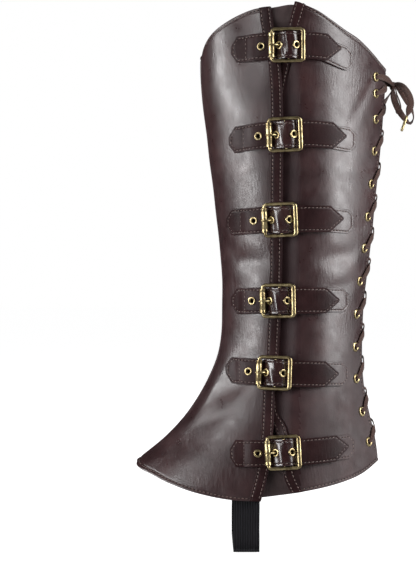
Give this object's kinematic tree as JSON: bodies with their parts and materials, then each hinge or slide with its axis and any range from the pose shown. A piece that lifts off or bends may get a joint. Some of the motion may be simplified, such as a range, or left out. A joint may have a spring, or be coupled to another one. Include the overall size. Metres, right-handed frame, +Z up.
{
  "type": "leather boot cover",
  "caption": "Knee-high leather cover worn over a shoe: straps and buckles close its outer side, a lace its back, and an elastic band passes under the shoe.",
  "frame": {"origin": "on the axis of the wearer's leg at the widest part of the calf", "axes": "+Z up the leg, -X towards the toes, -Y the leg's outer side with the buckles, +Y the inner side"},
  "size_m": [0.2213, 0.1248, 0.4228],
  "materials": {
    "panel_leather": "satin",
    "strap_leather": "satin",
    "brass": "satin",
    "cotton_lace": "matte",
    "elastic": "matte"
  },
  "bodies": {
    "root": {"aglet_inner": "brass", "aglet_outer": "brass", "buckle_frame_1": "brass", "buckle_frame_2": "brass", "buckle_frame_3": "brass", "buckle_frame_4": "brass", "buckle_frame_5": "brass", "buckle_frame_6": "brass", "buckle_prong_1": "brass", "buckle_prong_2": "brass", "buckle_prong_3": "brass", "buckle_prong_4": "brass", "buckle_prong_5": "brass", "buckle_prong_6": "brass", "buckle_roller_1": "brass", "buckle_roller_2": "brass", "buckle_roller_3": "brass", "buckle_roller_4": "brass", "buckle_roller_5": "brass", "buckle_roller_6": "brass", "buckle_tab_1": "panel_leather", "buckle_tab_2": "panel_leather", "buckle_tab_3": "panel_leather", "buckle_tab_4": "panel_leather", "buckle_tab_5": "panel_leather", "buckle_tab_6": "panel_leather", "front_edge_strip": "strap_leather", "front_panel_outer": "panel_leather", "inner_panel": "panel_leather", "lace_bow": "cotton_lace", "lace_first_half": "cotton_lace", "lace_second_half": "cotton_lace", "rear_edge_strip": "strap_leather", "rear_panel_outer": "panel_leather", "stirrup": "elastic", "strap_1": "strap_leather", "strap_2": "strap_leather", "strap_3": "strap_leather", "strap_4": "strap_leather", "strap_5": "strap_leather", "strap_6": "strap_leather", "strap_eyelet_1a": "brass", "strap_eyelet_1b": "brass", "strap_eyelet_1c": "brass", "strap_eyelet_2a": "brass", "strap_eyelet_2b": "brass", "strap_eyelet_2c": "brass", "strap_eyelet_3a": "brass", "strap_eyelet_3b": "brass", "strap_eyelet_3c": "brass", "strap_eyelet_4a": "brass", "strap_eyelet_4b": "brass", "strap_eyelet_4c": "brass", "strap_eyelet_5a": "brass", "strap_eyelet_5b": "brass", "strap_eyelet_5c": "brass", "strap_eyelet_6a": "brass", "strap_eyelet_6b": "brass", "strap_eyelet_6c": "brass", "underlap": "panel_leather"}
  },
  "joints": []
}
